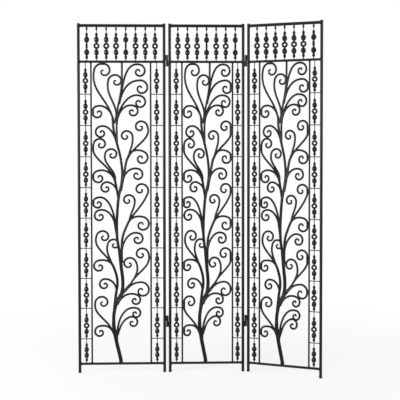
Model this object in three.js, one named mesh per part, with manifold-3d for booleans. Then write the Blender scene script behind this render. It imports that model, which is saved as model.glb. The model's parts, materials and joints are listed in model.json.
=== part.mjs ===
// A three-panel folding screen of welded black steel: tube frames, a row of beaded spindles across
// the top, a beaded drop down each side and a scrolled tree in the middle of every panel.
// The two outer panels lift onto pins on the middle panel. Millimetres, +Z up, floor at z = 0.
import * as THREE from "three";
import Module from "manifold-3d";
import { mergeVertices } from "three/addons/utils/BufferGeometryUtils.js";

const wasm = await Module();
wasm.setup();

// ---- Driving dimensions -------------------------------------------------------------------------
const SCREEN_HEIGHT = 1829;
const STILE_ABOVE_RAIL = 4; // how far a stile stands above the top rail
const BOTTOM_RAIL_Z = 47;
const FRIEZE_BAND = 187; // from the top rail down to the frieze rail, centre to centre

const STILE = { diameter: 15, bore: 12.4 };
const TOP_RAIL = { diameter: 16, bore: 13.4 };
const RAIL = { diameter: 12.7, bore: 10.3 };
const INNER_BAR_DIAMETER = 9;
const CROSS_WIRE = 3.6;
const ROD_DIAMETER = 3.2;
const NECK_DIAMETER = 6;
const SCROLL_BAR = 8;
const WELD_GAP = 0.2; // left between two welded pieces

// Each panel from its left stile: its width, then for the left and the right side how far the inner
// bar, the drop and the nearest spindle stand from the stile; how many spindles it has and which of
// them are turned a quarter; and how far its tree stands and leans to the right.
const PANELS = {
  left: {
    width: 445, bars: [64.5, 70.5], drops: [35.5, 39], margins: [43, 47],
    spindles: 8, turned: [1, 5], treeShift: -2.5, treeLean: 0,
  },
  middle: {
    width: 384, bars: [64, 55.5], drops: [34, 28.5], margins: [43, 41],
    spindles: 7, turned: [4, 7], treeShift: -3, treeLean: 0.012,
  },
  right: {
    width: 384, bars: [60, 61], drops: [32.5, 35], margins: [47, 44],
    spindles: 7, turned: [7], treeShift: -2.5, treeLean: 0.01,
  },
};
const REST_FOLD = { left: 0, right: 20.6 }; // degrees, towards the front

const BEAD = {
  tip: { width: 10, depth: 10, height: 12 },
  small: { width: 15, depth: 15, height: 20 },
  large: { width: 26, depth: 26, height: 32 },
  ring: { width: 33, depth: 11, height: 34 },
};
const RING_HOLE = 12;
const BEAD_GROUP = ["small", "large", "ring", "large", "small"];
const SHORT_GROUP = ["small", "large", "large", "small"];
const BEADED_BAND = 187; // the frieze band that a spindle's heights here are given for
const SPINDLE_FOOT = 6; // rod below a spindle's bead group
const TIP_NECK = 4; // neck above its top bead
const DROP_BEAD_SCALE = 0.92; // a drop's beads against a spindle's
const DROP_FOOT = 5; // neck below each bead group of a drop

const HINGE = {
  stileGap: 14,
  barrel: 12,
  bore: 6.1,
  pin: 6,
  pinLength: 27,
  halfHeight: 30,
  partingGap: 0.3,
  tabDepth: 4,
  topAboveFrieze: 6,
  bottomAboveRail: 222,
};
const FOOT = { diameter: 17, height: 9, flat: 11, stemLength: 14, stemClearance: 0.3 };

const TUBE_SIDES = 8;
const STEM_STEPS = 3;
const CURL_STEPS = 8;
const CURL_CROWDING = 1.2; // above 1, a curl's steps are shorter where it is wide

// ---- Wires and tree, in millimetres up from the bottom rail and from the middle of the tree's bay ---
const TREE_BAY = { width: 312, height: 1583 };
const WIRE_HEIGHTS = [132, 293, 451, 609, 767, 927, 1088, 1251, 1414];
const CURL_TURN = 430; // degrees that every curl winds
const CURL_END = 0.16; // its last radius, as a share of its first
const STEM_PULL = 0.42; // how far a stem keeps its first and last direction

// Each bough: its thickness, then the points that it passes.
const BOUGHS = [
  { thick: 17, points: [[-3, 6], [-3, 20], [-24, 122], [-34, 198], [-33, 215]] },
  { thick: 14, points: [[-34, 195], [-32, 258], [-17, 328], [6, 375], [10, 433], [1, 508], [-7, 588]] },
  { thick: 13, points: [[-6, 580], [-18, 649], [-21, 713], [-19, 778], [-12, 865], [1, 930]] },
  { thick: 11, points: [[0, 922], [8, 995], [1, 1073], [-14, 1138], [-28, 1190], [-37, 1242], [-40, 1290]] },
  { thick: 9, points: [[-18, 1151], [-20, 1292], [-14, 1340], [-1, 1404], [7, 1472], [8, 1576]] },
  { thick: 12, points: [[-32, 283], [-23, 368], [-18, 408], [-21, 453], [-36, 503], [-49, 528]] },
  { thick: 11, points: [[1, 908], [14, 977], [29, 1060], [42, 1090]] },
  { thick: 11, points: [[6, 533], [4, 573], [8, 660], [33, 730], [46, 754]] },
  { thick: 11, points: [[-12, 865], [-19, 908], [-28, 956], [-32, 966]] },
  { thick: 12, points: [[-27, 288], [-11, 328], [14, 370], [46, 414]] },
  { thick: 11, points: [[-26, 127], [-34, 152], [-45, 172]] },
  { thick: 11, points: [[-19, 669], [-27, 713], [-32, 747]] },
  { thick: 9, points: [[-19, 112], [-20, 150]] },
];

// Each scroll: where its stem leaves a bough and which way it leans (degrees from upright, to the
// right), then its eye, the radius and angle at which the curl starts, and the way it winds.
const CLOCKWISE = 1;
const ANTICLOCKWISE = -1;
const SCROLLS = [
  { root: [-37, 1276], lean: -12, eye: [-88, 1528], radius: 49, from: 167, winds: CLOCKWISE },
  { root: [-33, 1262], lean: 27, eye: [-25, 1481], radius: 41, from: 165, winds: CLOCKWISE },
  { root: [-37, 1264], lean: 1, eye: [-113, 1314], radius: 39, from: 109, winds: ANTICLOCKWISE },
  { root: [-18, 1147], lean: -10, eye: [-101, 1207], radius: 36, from: 115, winds: ANTICLOCKWISE },
  { root: [-31, 964], lean: -16, eye: [-102, 1147], radius: 35, from: 158, winds: CLOCKWISE },
  { root: [-28, 956], lean: 8, eye: [-42, 1094], radius: 36, from: 161, winds: CLOCKWISE },
  { root: [-29, 956], lean: -13, eye: [-111, 975], radius: 40, from: 118, winds: ANTICLOCKWISE },
  { root: [-17, 895], lean: -9, eye: [-74, 918], radius: 36, from: 72, winds: ANTICLOCKWISE },
  { root: [-30, 743], lean: -6, eye: [-117, 839], radius: 32, from: 118, winds: ANTICLOCKWISE },
  { root: [-27, 713], lean: -4, eye: [-108, 773], radius: 35, from: 111, winds: ANTICLOCKWISE },
  { root: [-48, 526], lean: -31, eye: [-86, 666], radius: 40, from: 160, winds: CLOCKWISE },
  { root: [-44, 518], lean: -18, eye: [-34, 622], radius: 32, from: 161, winds: CLOCKWISE },
  { root: [3, 1412], lean: 11, eye: [95, 1533], radius: 38, from: 75, winds: CLOCKWISE },
  { root: [-5, 1364], lean: 11, eye: [109, 1446], radius: 43, from: 62, winds: CLOCKWISE },
  { root: [-15, 1300], lean: 20, eye: [98, 1369], radius: 37, from: 64, winds: CLOCKWISE },
  { root: [-18, 1258], lean: 1, eye: [61, 1322], radius: 35, from: 75, winds: CLOCKWISE },
  { root: [42, 1090], lean: 33, eye: [106, 1239], radius: 37, from: 27, winds: ANTICLOCKWISE },
  { root: [40, 1086], lean: 12, eye: [27, 1191], radius: 37, from: 6, winds: ANTICLOCKWISE },
  { root: [38, 1086], lean: 15, eye: [110, 1079], radius: 41, from: 55, winds: CLOCKWISE },
  { root: [11, 956], lean: 5, eye: [87, 991], radius: 37, from: 71, winds: CLOCKWISE },
  { root: [48, 758], lean: 34, eye: [105, 911], radius: 43, from: -22, winds: ANTICLOCKWISE },
  { root: [44, 752], lean: 8, eye: [42, 854], radius: 37, from: -3, winds: ANTICLOCKWISE },
  { root: [33, 730], lean: 18, eye: [110, 728], radius: 42, from: 71, winds: CLOCKWISE },
  { root: [5, 591], lean: 3, eye: [88, 652], radius: 35, from: 64, winds: CLOCKWISE },
  { root: [-36, 503], lean: -20, eye: [-114, 507], radius: 38, from: 105, winds: ANTICLOCKWISE },
  { root: [-23, 368], lean: 5, eye: [-84, 411], radius: 32, from: 97, winds: ANTICLOCKWISE },
  { root: [-46, 173], lean: -24, eye: [-93, 315], radius: 38, from: 167, winds: CLOCKWISE },
  { root: [-45, 170], lean: -31, eye: [-114, 168], radius: 35, from: 103, winds: ANTICLOCKWISE },
  { root: [46, 413], lean: 26, eye: [106, 571], radius: 36, from: 18, winds: ANTICLOCKWISE },
  { root: [46, 414], lean: 33, eye: [45, 520], radius: 36, from: 25, winds: ANTICLOCKWISE },
  { root: [19, 377], lean: 38, eye: [110, 383], radius: 45, from: 93, winds: CLOCKWISE },
  { root: [-16, 312], lean: 20, eye: [74, 332], radius: 31, from: 64, winds: CLOCKWISE },
  { root: [-20, 147], lean: -1, eye: [74, 262], radius: 30, from: 73, winds: CLOCKWISE },
  { root: [-19, 147], lean: 20, eye: [58, 214], radius: 33, from: 114, winds: CLOCKWISE },
];

// ---- Sizes that follow from them ------------------------------------------------------------------
const TOP_RAIL_Z = SCREEN_HEIGHT - STILE_ABOVE_RAIL - TOP_RAIL.diameter / 2;
const FRIEZE_RAIL_Z = TOP_RAIL_Z - FRIEZE_BAND;
const STILE_BOTTOM_Z = FOOT.height + WELD_GAP;
const BAY_BOTTOM_Z = BOTTOM_RAIL_Z + RAIL.diameter / 2 + WELD_GAP;
const BAY_TOP_Z = FRIEZE_RAIL_Z - RAIL.diameter / 2 - WELD_GAP;
const BAY_STRETCH = (FRIEZE_RAIL_Z - BOTTOM_RAIL_Z) / TREE_BAY.height;
const BAND_STRETCH = FRIEZE_BAND / BEADED_BAND;
const AXIS_OFFSET = (STILE.diameter + HINGE.stileGap) / 2; // from a stile's centre to the hinge axis
const HINGE_HEIGHTS = {
  top: FRIEZE_RAIL_Z + HINGE.topAboveFrieze,
  bottom: BOTTOM_RAIL_Z + HINGE.bottomAboveRail * BAY_STRETCH,
};

// ---- Materials --------------------------------------------------------------------------------------
function powderCoat() {
  return new THREE.MeshStandardMaterial({ color: 0x2c2c2e, roughness: 0.42, metalness: 0.35 });
}

function footPlastic() {
  return new THREE.MeshStandardMaterial({ color: 0x161617, roughness: 0.65, metalness: 0 });
}

// ---- Shape helpers ----------------------------------------------------------------------------------
/** A geometry as a solid that can be joined and cut. */
function solidOf(geometry) {
  const bare = geometry.clone();
  bare.deleteAttribute("normal");
  bare.deleteAttribute("uv");
  const merged = mergeVertices(bare, 1e-4);
  const vertProperties = new Float32Array(merged.attributes.position.array);
  const triVerts = new Uint32Array(merged.index.array);
  return new wasm.Manifold(new wasm.Mesh({ numProp: 3, vertProperties, triVerts }));
}

/** A solid as a geometry with flat-shaded faces. */
function geometryOf(solid) {
  const mesh = solid.getMesh();
  const geometry = new THREE.BufferGeometry();
  geometry.setAttribute("position", new THREE.BufferAttribute(mesh.vertProperties, 3));
  geometry.setIndex(new THREE.BufferAttribute(mesh.triVerts, 1));
  const flat = geometry.toNonIndexed();
  flat.computeVertexNormals();
  return flat;
}

function joined(geometries) {
  const [first, ...others] = geometries.map(solidOf);
  return others.reduce((whole, next) => whole.add(next), first);
}

/** A turned piece about Z from [radius, height] pairs, its flat sides lying at those radii. */
function turnedGeometry(profile, sides = TUBE_SIDES) {
  const toCorner = 1 / Math.cos(Math.PI / sides);
  const points = profile.map(([radius, height]) => new THREE.Vector2(radius * toCorner, height));
  return new THREE.LatheGeometry(points, sides).rotateY(Math.PI / sides).rotateX(Math.PI / 2);
}

function roundBar(diameter, length) {
  const radius = diameter / 2;
  return turnedGeometry([[0, 0], [radius, 0], [radius, length], [0, length]]);
}

function tube({ diameter, bore }, length) {
  const outer = diameter / 2;
  const inner = bore / 2;
  return turnedGeometry([[inner, 0], [outer, 0], [outer, length], [inner, length], [inner, 0]]);
}

/** A closed skin over rings of points, each ring anticlockwise seen from the end it runs towards. */
function loftGeometry(rings) {
  const corners = [];
  const face = (a, b, c) => corners.push(a, b, c);
  const sides = rings[0].length;
  for (let i = 1; i < rings.length; i++) {
    for (let j = 0; j < sides; j++) {
      const next = (j + 1) % sides;
      face(rings[i - 1][j], rings[i - 1][next], rings[i][next]);
      face(rings[i - 1][j], rings[i][next], rings[i][j]);
    }
  }
  const first = rings[0];
  const last = rings[rings.length - 1];
  for (let j = 1; j < sides - 1; j++) {
    face(first[0], first[j + 1], first[j]);
    face(last[0], last[j], last[j + 1]);
  }
  return new THREE.BufferGeometry().setFromPoints(corners);
}

/** A curve through given points, whose extrusion steps fall on those points. */
class BarLine extends THREE.Curve {
  constructor(points) {
    super();
    this.points = points;
  }

  getPoint(t, target = new THREE.Vector3()) {
    const place = Math.min(Math.max(t, 0), 1) * (this.points.length - 1);
    const index = Math.min(Math.floor(place), this.points.length - 2);
    return target.lerpVectors(this.points[index], this.points[index + 1], place - index);
  }

  getUtoTmapping(u) {
    return u;
  }
}

/** A bar bent along points in the XZ plane; its section is [depth, width] corners. */
function bentBar(points, section) {
  const shape = new THREE.Shape(section.map(([depth, width]) => new THREE.Vector2(depth, width)));
  const extrudePath = new BarLine(points);
  return new THREE.ExtrudeGeometry(shape, { steps: points.length - 1, extrudePath, curveSegments: 1 });
}

function squareSection(size) {
  const half = size / 2;
  return [[-half, -half], [half, -half], [half, half], [-half, half]];
}

function wedgeSection(size) {
  const half = size / 2;
  return [[-half, -half], [half, 0], [-half, half]];
}

// ---- Frame ------------------------------------------------------------------------------------------
function stileGeometry() {
  const outer = STILE.diameter / 2;
  const inner = STILE.bore / 2;
  const wall = outer - inner;
  const length = SCREEN_HEIGHT - STILE_BOTTOM_Z;
  const shoulder = length - 2;
  return turnedGeometry([
    [0, length - wall],
    [inner, shoulder - wall],
    [inner, 0],
    [outer, 0],
    [outer, shoulder],
    [outer * 0.6, length],
    [0, length],
  ]);
}

function railGeometry(section, width) {
  const length = width - STILE.diameter - 2 * WELD_GAP;
  return tube(section, length).rotateY(Math.PI / 2);
}

function footGeometry() {
  const stem = STILE.bore / 2 - FOOT.stemClearance;
  const rim = FOOT.diameter / 2;
  return turnedGeometry([
    [0, 0],
    [FOOT.flat / 2, 0],
    [rim - 0.6, 1.6],
    [rim, 4],
    [rim, FOOT.height],
    [stem, FOOT.height],
    [stem, FOOT.height + FOOT.stemLength],
    [0, FOOT.height + FOOT.stemLength],
  ]);
}

// ---- Beaded pieces ----------------------------------------------------------------------------------
/** Walks up a run of beads and gives its sections [z, width, depth] and the heights of its rings. */
function beadRun(kinds, bottomZ, scale = 1) {
  const sections = [];
  const rings = [];
  let z = bottomZ;
  kinds.forEach((kind, index) => {
    const { width, depth, height } = BEAD[kind];
    const middle = z + (height / 2) * scale;
    if (index > 0) sections.push([z, NECK_DIAMETER, NECK_DIAMETER]);
    sections.push([middle, width * scale, depth * scale]);
    if (kind === "ring") rings.push(middle);
    z += height * scale;
  });
  return { sections, rings, topZ: z };
}

/** A strand of beads, each with one broad face to the front and an edge at the back. */
function strandSolid(sections, rings) {
  const loops = sections.map(([z, width, depth]) => [
    new THREE.Vector3(-width / 2, -depth / 2, z),
    new THREE.Vector3(width / 2, -depth / 2, z),
    new THREE.Vector3(0, depth / 2, z),
  ]);
  const cutter = new THREE.CylinderGeometry(RING_HOLE / 2, RING_HOLE / 2, 3 * BEAD.ring.depth, 4);
  const holes = rings.map((z) => solidOf(cutter.clone().translate(0, 0, z)));
  return holes.reduce((strand, hole) => strand.subtract(hole), solidOf(loftGeometry(loops)));
}

const slim = (z, diameter = ROD_DIAMETER) => [z, diameter, diameter];

function spindleGeometry() {
  const bottom = FRIEZE_RAIL_Z + RAIL.diameter / 2 + WELD_GAP;
  const top = TOP_RAIL_Z - TOP_RAIL.diameter / 2 - WELD_GAP;
  const group = beadRun(BEAD_GROUP, bottom + SPINDLE_FOOT * BAND_STRETCH, BAND_STRETCH);
  const tipZ = top - (TIP_NECK + BEAD.tip.height) * BAND_STRETCH;
  const tip = beadRun(["tip"], tipZ, BAND_STRETCH);
  const sections = [
    slim(bottom),
    ...group.sections,
    slim(group.topZ),
    ...tip.sections,
    slim(tip.topZ, NECK_DIAMETER),
    slim(top, NECK_DIAMETER),
  ];
  return geometryOf(strandSolid(sections, group.rings));
}

/** The sections and ring heights of a drop that stands on the bottom rail and passes the wires. */
function dropLayout(wires) {
  const sections = [slim(BAY_BOTTOM_Z)];
  const rings = [];
  [BAY_BOTTOM_Z, ...wires].forEach((start, index) => {
    const kinds = index === 0 ? SHORT_GROUP : BEAD_GROUP;
    if (index > 0) sections.push(slim(start));
    const run = beadRun(kinds, start + DROP_FOOT, DROP_BEAD_SCALE * BAY_STRETCH);
    sections.push(...run.sections, slim(run.topZ));
    rings.push(...run.rings);
  });
  sections.push(slim(BAY_TOP_Z));
  return { sections, rings };
}

/** One side of a panel: the inner bar, the beaded drop beside it and the wires that tie them. */
function sideLadderGeometry(barOffset, dropOffset) {
  const wires = WIRE_HEIGHTS.map((height) => BOTTOM_RAIL_Z + height * BAY_STRETCH);
  const { sections, rings } = dropLayout(wires);
  const bar = roundBar(INNER_BAR_DIAMETER, BAY_TOP_Z - BAY_BOTTOM_Z).translate(0, 0, BAY_BOTTOM_Z);
  const strand = strandSolid(sections, rings).translate([dropOffset - barOffset, 0, 0]);
  const length = barOffset - STILE.diameter / 2 - WELD_GAP;
  const wire = new THREE.BoxGeometry(length, CROSS_WIRE, CROSS_WIRE).translate(-length / 2, 0, 0);
  const wireSolids = wires.map((z) => solidOf(wire.clone().translate(0, 0, z)));
  return wireSolids.reduce((ladder, next) => ladder.add(next), strand.add(solidOf(bar)));
}

// ---- Scrolled tree ----------------------------------------------------------------------------------
/** The stem and curl of one scroll as points in the XZ plane. */
function scrollPoints({ root, lean, eye, radius, from, winds }) {
  const curl = [];
  for (let step = 0; step <= CURL_STEPS; step++) {
    const share = (step / CURL_STEPS) ** CURL_CROWDING;
    const angle = THREE.MathUtils.degToRad(from - winds * share * CURL_TURN);
    const reach = radius * (1 - (1 - CURL_END) * share);
    curl.push(new THREE.Vector3(eye[0] + reach * Math.cos(angle), 0, eye[1] + reach * Math.sin(angle)));
  }
  const start = new THREE.Vector3(root[0], 0, root[1]);
  const leaving = THREE.MathUtils.degToRad(lean);
  const starting = THREE.MathUtils.degToRad(from);
  const pull = STEM_PULL * start.distanceTo(curl[0]);
  const upward = new THREE.Vector3(Math.sin(leaving), 0, Math.cos(leaving));
  const along = new THREE.Vector3(winds * Math.sin(starting), 0, -winds * Math.cos(starting));
  const stem = new THREE.CubicBezierCurve3(
    start,
    start.clone().addScaledVector(upward, pull),
    curl[0].clone().addScaledVector(along, -pull),
    curl[0],
  );
  return [...stem.getPoints(STEM_STEPS).slice(0, -1), ...curl];
}

/** The height of a tree's point. Next to a rail it keeps its distance from the rail. */
function heightInBay(z) {
  const belowTop = TREE_BAY.height - z;
  if (z < RAIL.diameter) return BOTTOM_RAIL_Z + z;
  if (belowTop < RAIL.diameter) return FRIEZE_RAIL_Z - belowTop;
  return BOTTOM_RAIL_Z + z * BAY_STRETCH;
}

/** A tree for a bay of that width. A curl that would pass the inner bar or the rail lies against it. */
function treeSolid(bayWidth, shift, lean) {
  const wide = bayWidth / TREE_BAY.width;
  const place = (x, z, room) => {
    const reach = bayWidth / 2 - INNER_BAR_DIAMETER / 2 - WELD_GAP - room;
    const across = (x + shift + lean * (z - TREE_BAY.height / 2)) * wide;
    return new THREE.Vector3(
      THREE.MathUtils.clamp(across, -reach, reach),
      0,
      THREE.MathUtils.clamp(heightInBay(z), BAY_BOTTOM_Z + room, BAY_TOP_Z - room),
    );
  };
  const boughs = BOUGHS.map(({ thick, points }) => {
    const line = points.map(([x, z]) => place(x, z, 0));
    return bentBar(line, squareSection(thick));
  });
  const scrolls = SCROLLS.map((scroll) => {
    const line = scrollPoints(scroll).map(({ x, z }) => place(x, z, SCROLL_BAR / 2));
    return bentBar(line, wedgeSection(SCROLL_BAR));
  });
  return joined([...boughs, ...scrolls]);
}

// ---- Hinges -----------------------------------------------------------------------------------------
/** The small plate that joins a barrel to the stile on one side of it, from z = bottom to top. */
function weldTab(side, bottom, top) {
  const inner = HINGE.barrel / 2 - 1;
  const outer = HINGE.stileGap / 2 - WELD_GAP;
  const tab = new THREE.BoxGeometry(outer - inner, HINGE.tabDepth, top - bottom);
  return tab.translate((side * (inner + outer)) / 2, 0, (bottom + top) / 2);
}

/** The lower half, with the pin that stands out of it. */
function hingePinGeometry(side) {
  const barrel = HINGE.barrel / 2;
  const pin = (HINGE.pin / 2) * Math.cos(Math.PI / TUBE_SIDES); // its corners clear the bore
  const barrelTop = -HINGE.partingGap / 2;
  const barrelBottom = -HINGE.halfHeight;
  const body = turnedGeometry([
    [0, barrelBottom],
    [barrel, barrelBottom],
    [barrel, barrelTop],
    [pin, barrelTop],
    [pin, HINGE.pinLength - 1.5],
    [pin - 1, HINGE.pinLength],
    [0, HINGE.pinLength],
  ]);
  return geometryOf(joined([body, weldTab(side, barrelBottom + 2, barrelTop - 2)]));
}

/** The upper half, a barrel that drops over the pin. */
function hingeSocketGeometry(side) {
  const bottom = HINGE.partingGap / 2;
  const barrel = tube({ diameter: HINGE.barrel, bore: HINGE.bore }, HINGE.halfHeight - bottom);
  barrel.translate(0, 0, bottom);
  return geometryOf(joined([barrel, weldTab(side, bottom + 2, HINGE.halfHeight - 2)]));
}

// ---- Assembly ---------------------------------------------------------------------------------------
function named(name, geometry, material, x = 0, z = 0) {
  const mesh = new THREE.Mesh(geometry, material);
  mesh.name = name;
  mesh.position.set(x, 0, z);
  return mesh;
}

/** One welded panel, its left stile centred on x = 0. */
function makePanel(name) {
  const { width, bars, drops, margins, spindles, turned, treeShift, treeLean } = PANELS[name];
  const panel = new THREE.Group();
  const railStart = STILE.diameter / 2 + WELD_GAP;
  panel.add(named(`${name}_left_stile`, stileGeometry(), powderCoat(), 0, STILE_BOTTOM_Z));
  panel.add(named(`${name}_right_stile`, stileGeometry(), powderCoat(), width, STILE_BOTTOM_Z));
  panel.add(named(`${name}_top_rail`, railGeometry(TOP_RAIL, width), powderCoat(), railStart, TOP_RAIL_Z));
  panel.add(named(`${name}_frieze_rail`, railGeometry(RAIL, width), powderCoat(), railStart, FRIEZE_RAIL_Z));
  panel.add(named(`${name}_bottom_rail`, railGeometry(RAIL, width), powderCoat(), railStart, BOTTOM_RAIL_Z));
  panel.add(named(`${name}_left_foot`, footGeometry(), footPlastic(), 0));
  panel.add(named(`${name}_right_foot`, footGeometry(), footPlastic(), width));

  const leftLadder = geometryOf(sideLadderGeometry(bars[0], drops[0]));
  const rightLadder = geometryOf(sideLadderGeometry(bars[1], drops[1]).mirror([1, 0, 0]));
  panel.add(named(`${name}_left_side_ladder`, leftLadder, powderCoat(), bars[0]));
  panel.add(named(`${name}_right_side_ladder`, rightLadder, powderCoat(), width - bars[1]));

  const bayWidth = width - bars[0] - bars[1];
  const tree = geometryOf(treeSolid(bayWidth, treeShift, treeLean));
  panel.add(named(`${name}_scroll_tree`, tree, powderCoat(), bars[0] + bayWidth / 2));

  for (let count = 1; count <= spindles; count++) {
    const share = (count - 1) / (spindles - 1);
    const x = margins[0] + share * (width - margins[0] - margins[1]);
    const spindle = named(`${name}_spindle_${count}`, spindleGeometry(), powderCoat(), x);
    if (turned.includes(count)) spindle.rotation.z = Math.PI / 2;
    panel.add(spindle);
  }
  return panel;
}

/** Adds the sockets of one outer panel and the pins that they drop onto. */
function addHinges(name, outerPanel, outerX, middlePanel, middleX, outerSide) {
  for (const [place, height] of Object.entries(HINGE_HEIGHTS)) {
    const socket = hingeSocketGeometry(outerSide);
    const pin = hingePinGeometry(-outerSide);
    outerPanel.add(named(`${name}_hinge_${place}_socket`, socket, powderCoat(), outerX, height));
    middlePanel.add(named(`${name}_hinge_${place}_pin`, pin, powderCoat(), middleX, height));
  }
}

/** Hangs an outer panel on its hinge axis; its content starts at startX from that axis. */
function hung(panel, axisX, startX, fold) {
  panel.children.forEach((mesh) => mesh.position.setX(mesh.position.x + startX));
  const carrier = new THREE.Group();
  carrier.position.set(axisX, 0, 0);
  carrier.rotation.z = THREE.MathUtils.degToRad(fold);
  carrier.add(panel);
  return carrier;
}

function makeScreen() {
  const middle = makePanel("middle");
  const left = makePanel("left");
  const right = makePanel("right");
  const leftAxis = -AXIS_OFFSET;
  const rightAxis = PANELS.middle.width + AXIS_OFFSET;
  addHinges("left", left, PANELS.left.width + AXIS_OFFSET, middle, leftAxis, -1);
  addHinges("right", right, -AXIS_OFFSET, middle, rightAxis, 1);

  const screen = new THREE.Group();
  screen.add(middle);
  screen.add(hung(left, leftAxis, -PANELS.left.width - AXIS_OFFSET, REST_FOLD.left));
  screen.add(hung(right, rightAxis, AXIS_OFFSET, -REST_FOLD.right));

  // The origin is the middle of the floor area that the standing screen covers.
  const covered = new THREE.Box3().setFromObject(screen, true);
  const middleOfFootprint = covered.getCenter(new THREE.Vector3());
  screen.position.set(-middleOfFootprint.x, -middleOfFootprint.y, 0);
  const object = new THREE.Group();
  object.add(screen);
  return object;
}

const group = makeScreen();
export default group;
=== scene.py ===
"""A three-panel folding screen in black powder-coated steel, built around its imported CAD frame."""
import json
import math

import bmesh
import bpy
from bpy.props import FloatProperty, FloatVectorProperty, IntProperty, PointerProperty
from mathutils import Matrix, Vector


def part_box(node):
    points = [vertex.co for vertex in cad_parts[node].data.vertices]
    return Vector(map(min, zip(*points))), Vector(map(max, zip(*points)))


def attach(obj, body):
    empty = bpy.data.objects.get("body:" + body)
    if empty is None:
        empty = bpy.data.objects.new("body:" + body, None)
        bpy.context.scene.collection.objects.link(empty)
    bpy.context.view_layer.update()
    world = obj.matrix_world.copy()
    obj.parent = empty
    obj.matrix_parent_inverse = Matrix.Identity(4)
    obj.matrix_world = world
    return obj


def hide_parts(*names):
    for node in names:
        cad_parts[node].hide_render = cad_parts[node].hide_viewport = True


bl_info = {
    "name": "Scrolled Folding Screen",
    "version": (1, 0, 0),
    "blender": (4, 5, 0),
    "location": "View3D > Sidebar > Folding Screen",
    "description": "Makes a folding screen of welded steel with beaded spindles and scrolled trees",
    "category": "Add Mesh",
}

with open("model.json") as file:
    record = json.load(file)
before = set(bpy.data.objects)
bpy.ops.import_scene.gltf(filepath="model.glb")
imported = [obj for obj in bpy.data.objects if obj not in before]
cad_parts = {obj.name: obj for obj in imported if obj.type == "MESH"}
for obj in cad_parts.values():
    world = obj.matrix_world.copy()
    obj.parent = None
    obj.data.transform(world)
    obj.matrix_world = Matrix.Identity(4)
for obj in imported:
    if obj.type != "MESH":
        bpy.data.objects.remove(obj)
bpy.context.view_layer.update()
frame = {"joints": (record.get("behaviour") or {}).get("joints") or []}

MM = 0.001
BACK = Vector((0, 1, 0))
UP = Vector((0, 0, 1))
ALONG = Vector((1, 0, 0))

# ---- The screen's layout, in millimetres -----------------------------------------------------------
# Each panel: how far its inner bars and its beaded drops stand from the stile beside them, how many
# spindles it has and which of them stand a quarter turn round, and how the tree is fitted to its bay.
PANELS = {
    "left": {
        "bars": (64.5, 70.5), "drops": (35.5, 39), "spindles": 8, "turned": (1, 5),
        "tree_shift": -2.5, "tree_lean": 0, "tree_spread": 1.03,
    },
    "middle": {
        "bars": (64, 55.5), "drops": (34, 28.5), "spindles": 7, "turned": (4, 7),
        "tree_shift": -1.5, "tree_lean": 0.011, "tree_spread": 1.06,
    },
    "right": {
        "bars": (60, 61), "drops": (32.5, 35), "spindles": 7, "turned": (7,),
        "tree_shift": -1.3, "tree_lean": 0.008, "tree_spread": 1.05,
    },
}
STILE = {"diameter": 15, "bore": 12.4}
TOP_RAIL = {"diameter": 16, "bore": 13.4}
RAIL = {"diameter": 12.7, "bore": 10.3}
RAILS = (("top", TOP_RAIL), ("frieze", RAIL), ("bottom", RAIL))
DEEPEST_COPE = 0.6  # a share of the stile's radius
INNER_BAR = 9
WIRE_HEIGHTS = (132, 293, 451, 609, 767, 927, 1088, 1251, 1414)  # above the middle of the bottom rail
BAY = {"width": 312, "height": 1583}  # the bay that the tree's points are given in
GAP = 0.2  # welded pieces stand this far apart
TREE_RAISE = 2.5  # the tree stands this far above its points
NARROWEST_PANEL = 100  # the ladders and the tree need more room than this

BEAD_HEIGHT = {"tip": 12, "small": 20, "large": 32, "ring": 34}
BEAD_FULLNESS = {"tip": 0.9, "small": 0.85, "large": 0.74}  # the lower, the fuller
BEAD_STEPS = {"tip": 8, "small": 12, "large": 18}
BEAD_LOWNESS = 0.95  # under 1, a bead is widest a little below its middle
BEAD_FACETS = 6
BEAD_GROUP = ("small", "large", "ring", "large", "small")
SHORT_GROUP = ("small", "large", "large", "small")
RING_ROOT = 2.6  # how deep a neck runs into a ring
RING_FLATNESS = 0.8  # under 1, a ring's section is fuller than an oval
SPINDLE_FOOT = 6
TIP_NECK = {"height": 4, "width": 0.7}  # its width is a share of the other necks'
DROP_SCALE = 0.94
DROP_FOOT = 5

HINGE = {"barrel": 12, "bore": 6.4, "pin": 6, "pin_length": 27, "half": 30, "parting": 0.3}
HINGE_WELD = {
    "off_middle": 3.1, "end_room": 3, "radius": 1.45, "ripple": 0.22, "steps": 26, "ripple_steps": 3.2,
}
FOOT = {"diameter": 17, "height": 9, "stem": 11.8, "stem_length": 14}

# Welds round the end of a bar: how far from its middle each lies, and the weld's own radius.
COLLARS = {
    "spindle_foot": (1.8, 1.5), "spindle_top": (2.6, 1.4),
    "bar_end": (INNER_BAR / 2 - 0.3, 2), "drop_end": (1.8, 1.4),
    "wire_at_stile": (1.5, 1.5), "wire_at_bar": (1.4, 1.4),
    "trunk": (6.5, 2.4), "crown": (4.2, 1.8),
}
BLOBS = {"crossing": 2.9, "stem": 4.6, "touch": 3.4}  # the radii of the rounded welds
WELD_REACH = 1.2  # a curl that passes an inner bar this closely is welded to it

# How many sides the round sections have.
SIDES = {
    "foot": 48, "inner_bar": 28, "spindle": 36, "drop": 24, "wire": 12, "tree": 16, "hinge": 40,
    "rail_weld": 10, "hinge_weld": 10, "collar": 8, "blob": 12, "ring": 16,
}
RING_STEPS = 36
RAIL_WELD_STEPS = 72
COLLAR_STEPS = 24

# A thick bough is two bars side by side: how far apart and how thick, as shares of its thickness.
ONE_BAR_UNDER = 12
BAR_OFFSET = 0.22
BAR_RADIUS = 0.28
TRUNK = 0
CROWN = 4
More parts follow.
